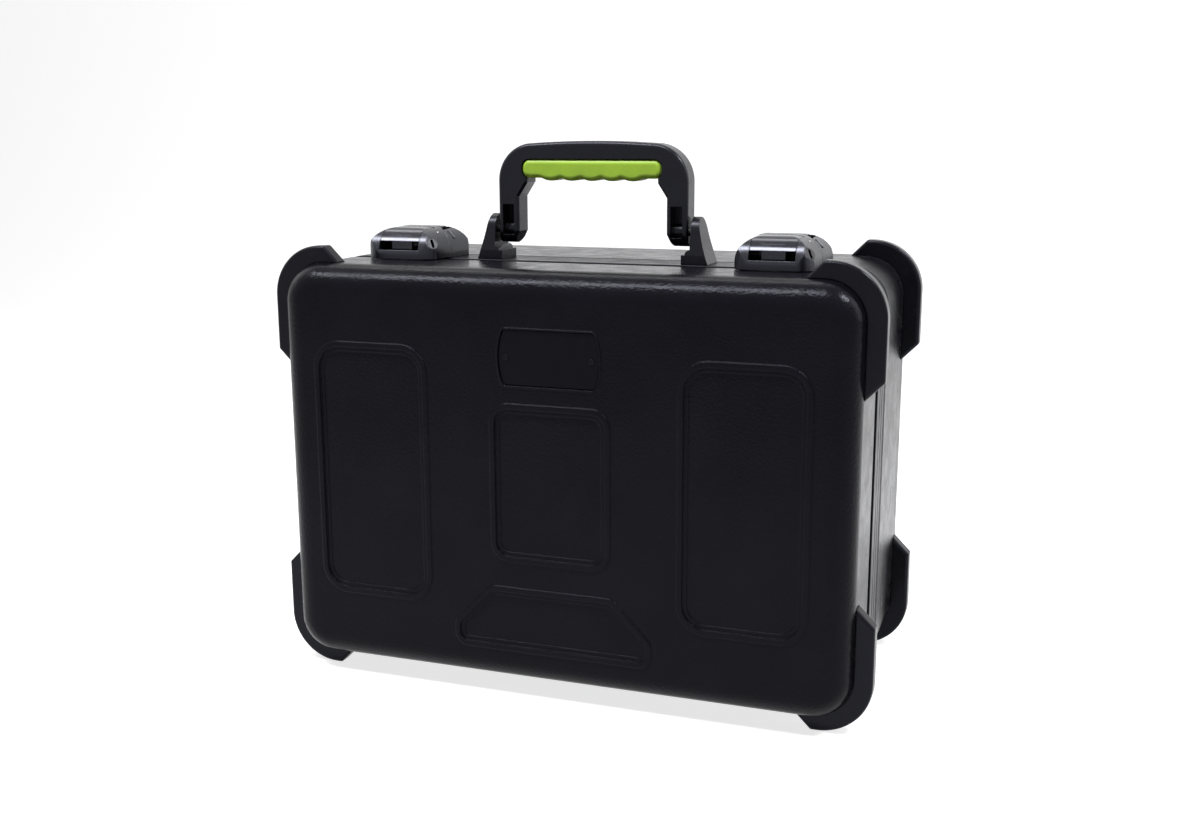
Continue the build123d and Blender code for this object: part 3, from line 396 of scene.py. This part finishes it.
for lining, body, node in ((base_lining, "base", "base_foam"), (lid_lining, "lid", "lid_foam")):
    lining.data.materials.clear()
    lining.data.materials.append(materials["foam"])
    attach(lining, body)
    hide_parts(node)

# ---------------------------------------------------------------- studio
FLOOR_FRONT = -3.0
FLOOR_BACK = 2.2
WALL_RADIUS = 0.8
WALL_TOP = 3.2
STUDIO_HALF_WIDTH = 4.0
SWEEP_STEPS = 12
PAPER_GLOW = 0.76
WORLD_LIGHT = 0.06
STRIP_X = -0.45
FILL_X = -0.40


def studio_sweep():
    """Floor that runs up into a wall behind the case in one curve."""
    profile = [(FLOOR_FRONT, 0.0)]
    for step in range(SWEEP_STEPS + 1):
        angle = math.pi / 2 * step / SWEEP_STEPS
        profile.append(
            (
                FLOOR_BACK - WALL_RADIUS + WALL_RADIUS * math.sin(angle),
                WALL_RADIUS - WALL_RADIUS * math.cos(angle),
            )
        )
    profile.append((FLOOR_BACK, WALL_TOP))
    vertices = [(side * STUDIO_HALF_WIDTH, y, z) for y, z in profile for side in (-1, 1)]
    faces = [(2 * i, 2 * i + 1, 2 * i + 3, 2 * i + 2) for i in range(len(profile) - 1)]
    mesh = bpy.data.meshes.new("studio_sweep")
    mesh.from_pydata(vertices, [], faces)
    for polygon in mesh.polygons:
        polygon.use_smooth = True
    sweep = bpy.data.objects.new("studio_sweep", mesh)
    bpy.context.scene.collection.objects.link(sweep)
    return sweep


def background_ray(tree):
    """1 for the rays that show the background: from the lens, a reflection or through glass."""
    path = tree.nodes.new("ShaderNodeLightPath")
    shown = path.outputs["Is Camera Ray"]
    for other in ("Is Glossy Ray", "Is Transmission Ray"):
        either = tree.nodes.new("ShaderNodeMath")
        either.operation = "MAXIMUM"
        tree.links.new(shown, either.inputs[0])
        tree.links.new(path.outputs[other], either.inputs[1])
        shown = either.outputs[0]
    return shown


def studio_material():
    """Pale paper that keeps the case's shadow; lens and reflections see it near white."""
    material = bpy.data.materials.new("studio_paper")
    material.use_nodes = True
    tree = material.node_tree
    tree.nodes.clear()
    output = tree.nodes.new("ShaderNodeOutputMaterial")
    paper = tree.nodes.new("ShaderNodeBsdfDiffuse")
    paper.inputs["Color"].default_value = PAPER_COLOR
    glow = tree.nodes.new("ShaderNodeEmission")
    glow.inputs["Color"].default_value = WHITE
    strength = tree.nodes.new("ShaderNodeMath")
    strength.operation = "MULTIPLY"
    strength.inputs[1].default_value = PAPER_GLOW
    tree.links.new(background_ray(tree), strength.inputs[0])
    tree.links.new(strength.outputs[0], glow.inputs["Strength"])
    both = tree.nodes.new("ShaderNodeAddShader")
    tree.links.new(paper.outputs[0], both.inputs[0])
    tree.links.new(glow.outputs[0], both.inputs[1])
    tree.links.new(both.outputs[0], output.inputs["Surface"])
    return material


sweep = studio_sweep()
sweep.data.materials.append(studio_material())

world = bpy.data.worlds.new("studio")
bpy.context.scene.world = world
world.use_nodes = True
sky = world.node_tree
background = sky.nodes["Background"]
background.inputs["Color"].default_value = WHITE
level = sky.nodes.new("ShaderNodeMapRange")
level.inputs["To Min"].default_value = WORLD_LIGHT
level.inputs["To Max"].default_value = 1.0
sky.links.new(background_ray(sky), level.inputs["Value"])
sky.links.new(level.outputs["Result"], background.inputs["Strength"])


def softbox(name, place, target, width, height, energy):
    """Rectangular lamp at place that faces target."""
    data = bpy.data.lights.new(name, "AREA")
    data.shape = "RECTANGLE"
    data.size = width
    data.size_y = height
    data.energy = energy
    lamp = bpy.data.objects.new(name, data)
    lamp.location = place
    lamp.rotation_euler = (Vector(target) - Vector(place)).to_track_quat("-Z", "Y").to_euler()
    bpy.context.scene.collection.objects.link(lamp)


# The two top lamps lie along X, to the left, where the roundings reflect them to the camera
case_middle = (cad_low + cad_high) / 2
strip_target = (STRIP_X, case_middle.y, case_middle.z)
fill_target = (FILL_X, case_middle.y, case_middle.z)
softbox("top_strip", (STRIP_X, -0.55, 1.55), strip_target, width=1.3, height=0.30, energy=36.0)
softbox("corner_spot", (1.12, -0.12, 1.50), case_middle, width=0.30, height=0.30, energy=20.0)
softbox("top_fill", (FILL_X, 0.75, 1.70), fill_target, width=1.5, height=0.35, energy=6.0)
softbox("right_softbox", (1.7, 0.5, 1.0), case_middle, width=0.8, height=1.3, energy=10.0)
softbox("left_softbox", (-1.6, 0.2, 1.2), case_middle, width=0.8, height=1.2, energy=4.0)

# ---------------------------------------------------------------- camera
camera_data = bpy.data.cameras.new("camera")
camera_data.lens = CAMERA_LENS
camera_data.sensor_width = SENSOR_WIDTH
camera_data.clip_start = CLIP_START
camera_data.clip_end = CLIP_END
camera = bpy.data.objects.new("camera", camera_data)
bpy.context.scene.collection.objects.link(camera)
forward = Vector(
    (
        math.sin(CAMERA_YAW) * math.cos(CAMERA_PITCH),
        math.cos(CAMERA_YAW) * math.cos(CAMERA_PITCH),
        math.sin(CAMERA_PITCH),
    )
)
camera.rotation_mode = "QUATERNION"
camera.rotation_quaternion = (
    Matrix.Rotation(CAMERA_ROLL, 4, forward).to_quaternion() @ forward.to_track_quat("-Z", "Y")
)
camera.location = CAMERA_PLACE
bpy.context.scene.camera = camera

bpy.context.scene.view_settings.view_transform = "Standard"
